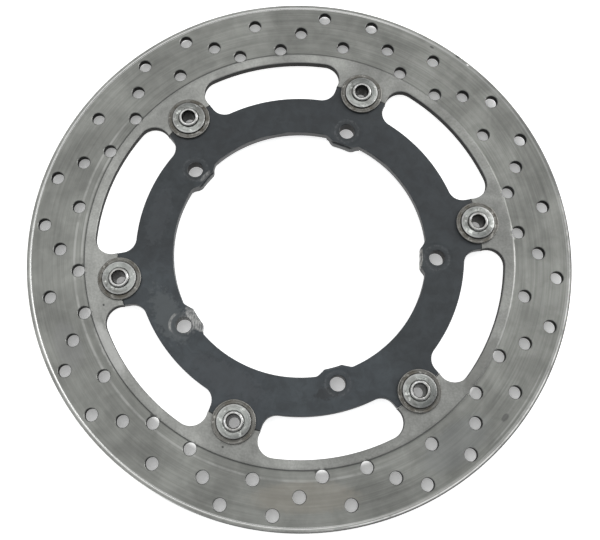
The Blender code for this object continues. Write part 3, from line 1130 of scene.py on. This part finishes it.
def plain_floor():
    """A pale floor that glows softly, and less under the disc as a painted shadow."""
    paint = Paint("pale_floor")
    speck = paint.grain(40.0, 3.0)
    colour = paint.mix(speck, rgb(0.94, 0.94, 0.94), rgb(0.96, 0.96, 0.96))
    paint.shader.inputs["Specular IOR Level"].default_value = 0.2
    paint.shader.inputs["Emission Color"].default_value = rgb(1.0, 1.0, 1.0)
    bobbin = paint.distance_to(bobbin_places())
    bolt = paint.distance_to(bolt_places())
    # Painted shadow under the ring, the bobbins and the bolts
    under_ring = paint.times(
        paint.between(paint.radius, BAND_INNER_R - 1.0, BAND_INNER_R + 3.0),
        paint.between(paint.radius, BAND_OUTER_R + 1.0, BAND_OUTER_R - 1.5),
    )
    under_bobbin = paint.between(bobbin, FLANGE_R - 1.5, FLANGE_R - 5.0)
    under_bolt = paint.times(paint.between(bolt, SPOT_FACE_R - 1.0, SPOT_FACE_R - 3.5), 0.8)
    under = paint.most(under_ring, paint.most(under_bobbin, under_bolt))
    glow = paint.between(under, 0.0, 1.0, FLOOR_GLOW, FLOOR_GLOW_UNDER)
    paint.feed(paint.shader.inputs["Emission Strength"], glow)
    return paint.finish(colour, 0.9, 0.0)


# The pieces and the scene


def dress(obj, material, body, slot, *nodes):
    obj.data.materials.clear()
    obj.data.materials.append(material)
    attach(obj, body)
    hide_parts(*nodes)


def bobbin_steel():
    # Painted shade inside the bobbin's hole
    hole = (0.0, BOBBIN_HOLE_R + 0.4, PAINTED_SHADE, 0.97)
    return turned_steel(
        "bobbin_steel",
        rgb(0.42, 0.42, 0.41),
        rgb(0.62, 0.62, 0.60),
        0.26,
        rgb(0.27, 0.26, 0.235),
        [hole],
    )


def flat_washer_steel():
    # Painted shade under the spring washer's edge
    shade_beside_spring = (0.0, SPRING_R + 0.45, PAINTED_SHADE, 0.9)
    # A painted highlight on the washer's rounded outer edge
    edge_highlight = (WASHER_R - 0.45, WASHER_R + 2.0, rgb(0.36, 0.35, 0.33), 0.6)
    return turned_steel(
        "flat_washer_steel",
        rgb(0.11, 0.108, 0.098),
        rgb(0.20, 0.196, 0.182),
        0.34,
        rgb(0.095, 0.083, 0.063),
        [shade_beside_spring, edge_highlight],
    )


def spring_washer_steel():
    # Painted shade under the collar
    shade_beside_collar = (0.0, COLLAR_R + 0.45, PAINTED_SHADE, 0.9)
    # A painted highlight on the washer's outer edge
    edge_highlight = (SPRING_R - 0.8, SPRING_R + 1.0, rgb(0.50, 0.50, 0.49), 0.5)
    return turned_steel(
        "spring_washer_steel",
        rgb(0.235, 0.248, 0.236),
        rgb(0.42, 0.43, 0.41),
        0.27,
        rgb(0.15, 0.145, 0.135),
        [shade_beside_collar, edge_highlight],
    )


def build_bobbins():
    kinds = (
        ("turned_bobbin", bobbin_profile, bobbin_steel(), "bobbin", "bobbin_steel"),
        ("plain_washer", flat_washer_profile, flat_washer_steel(), "flat_washer", "flat_washer_steel"),
        ("cone_washer", spring_washer_profile, spring_washer_steel(), "spring_washer", "spring_steel"),
    )
    for name, profile, material, node, slot in kinds:
        for i in range(1, BOBBIN_COUNT + 1):
            piece = object_from(f"{name}_{i}", lathe(profile()))
            shade(piece)
            low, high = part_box(f"{node}_{i}")
            middle = (low + high) / 2
            piece.location = (middle.x, middle.y, 0.0)
            dress(piece, material, f"bobbin_{i}", slot, f"{node}_{i}")


def area_light(name, place, size, power):
    """A disk light that is aimed at the middle of the disc."""
    lamp = bpy.data.lights.new(name, "AREA")
    lamp.shape = "DISK"
    lamp.size = size
    lamp.energy = power
    made = bpy.data.objects.new(name, lamp)
    made.location = place
    made.rotation_euler = (-Vector(place)).to_track_quat("-Z", "Y").to_euler()
    made.visible_camera = False
    bpy.context.scene.collection.objects.link(made)


def studio_floor():
    shape = bmesh.new()
    bmesh.ops.create_grid(shape, x_segments=4, y_segments=4, size=FLOOR_HALF_SIZE / MM)
    bmesh.ops.translate(shape, verts=shape.verts, vec=(0.0, 0.0, -FLOOR_DROP))
    floor = object_from("floor", shape)
    floor.data.materials.append(plain_floor())


def studio_world():
    """Soft light from all round, stronger low down, and a backdrop as pale as the floor."""
    world = bpy.data.worlds.new("studio")
    world.use_nodes = True
    tree = world.node_tree
    where = tree.nodes.new("ShaderNodeTexCoord")
    apart = tree.nodes.new("ShaderNodeSeparateXYZ")
    strength = tree.nodes.new("ShaderNodeMapRange")
    strength.interpolation_type = "SMOOTHSTEP"
    for socket, value in zip(strength.inputs[1:5], (0.0, 0.5, WORLD_LOW, WORLD_HIGH)):
        socket.default_value = value
    soft = tree.nodes["Background"]
    soft.inputs["Color"].default_value = rgb(0.80, 0.82, 0.84)
    backdrop = tree.nodes.new("ShaderNodeBackground")
    backdrop.inputs["Color"].default_value = rgb(0.93, 0.94, 0.95)
    either = tree.nodes.new("ShaderNodeMixShader")
    ray = tree.nodes.new("ShaderNodeLightPath")
    tree.links.new(where.outputs["Generated"], apart.inputs[0])
    tree.links.new(apart.outputs[2], strength.inputs[0])
    tree.links.new(strength.outputs[0], soft.inputs["Strength"])
    tree.links.new(ray.outputs["Is Camera Ray"], either.inputs[0])
    tree.links.new(soft.outputs[0], either.inputs[1])
    tree.links.new(backdrop.outputs[0], either.inputs[2])
    tree.links.new(either.outputs[0], tree.nodes["World Output"].inputs["Surface"])
    bpy.context.scene.world = world


def camera():
    lens = bpy.data.cameras.new("camera")
    lens.lens = CAMERA_LENS
    lens.sensor_width = 36.0
    lens.clip_start = 0.01
    lens.clip_end = 100.0
    made = bpy.data.objects.new("camera", lens)
    made.location = CAMERA_PLACE
    made.rotation_euler = [radians(turn) for turn in CAMERA_TURN]
    bpy.context.scene.collection.objects.link(made)
    bpy.context.scene.camera = made


def main():
    dress(friction_ring(), ring_steel(), "ring", "stainless_steel", "rotor_ring")
    dress(hub_carrier_plate(), carrier_black(), "carrier", "black_aluminium", "hub_carrier")
    build_bobbins()
    studio_floor()
    studio_world()
    for name, place, size, power in LIGHTS:
        area_light(name, place, size, power)
    camera()
    bpy.context.scene.view_settings.view_transform = "Standard"


main()
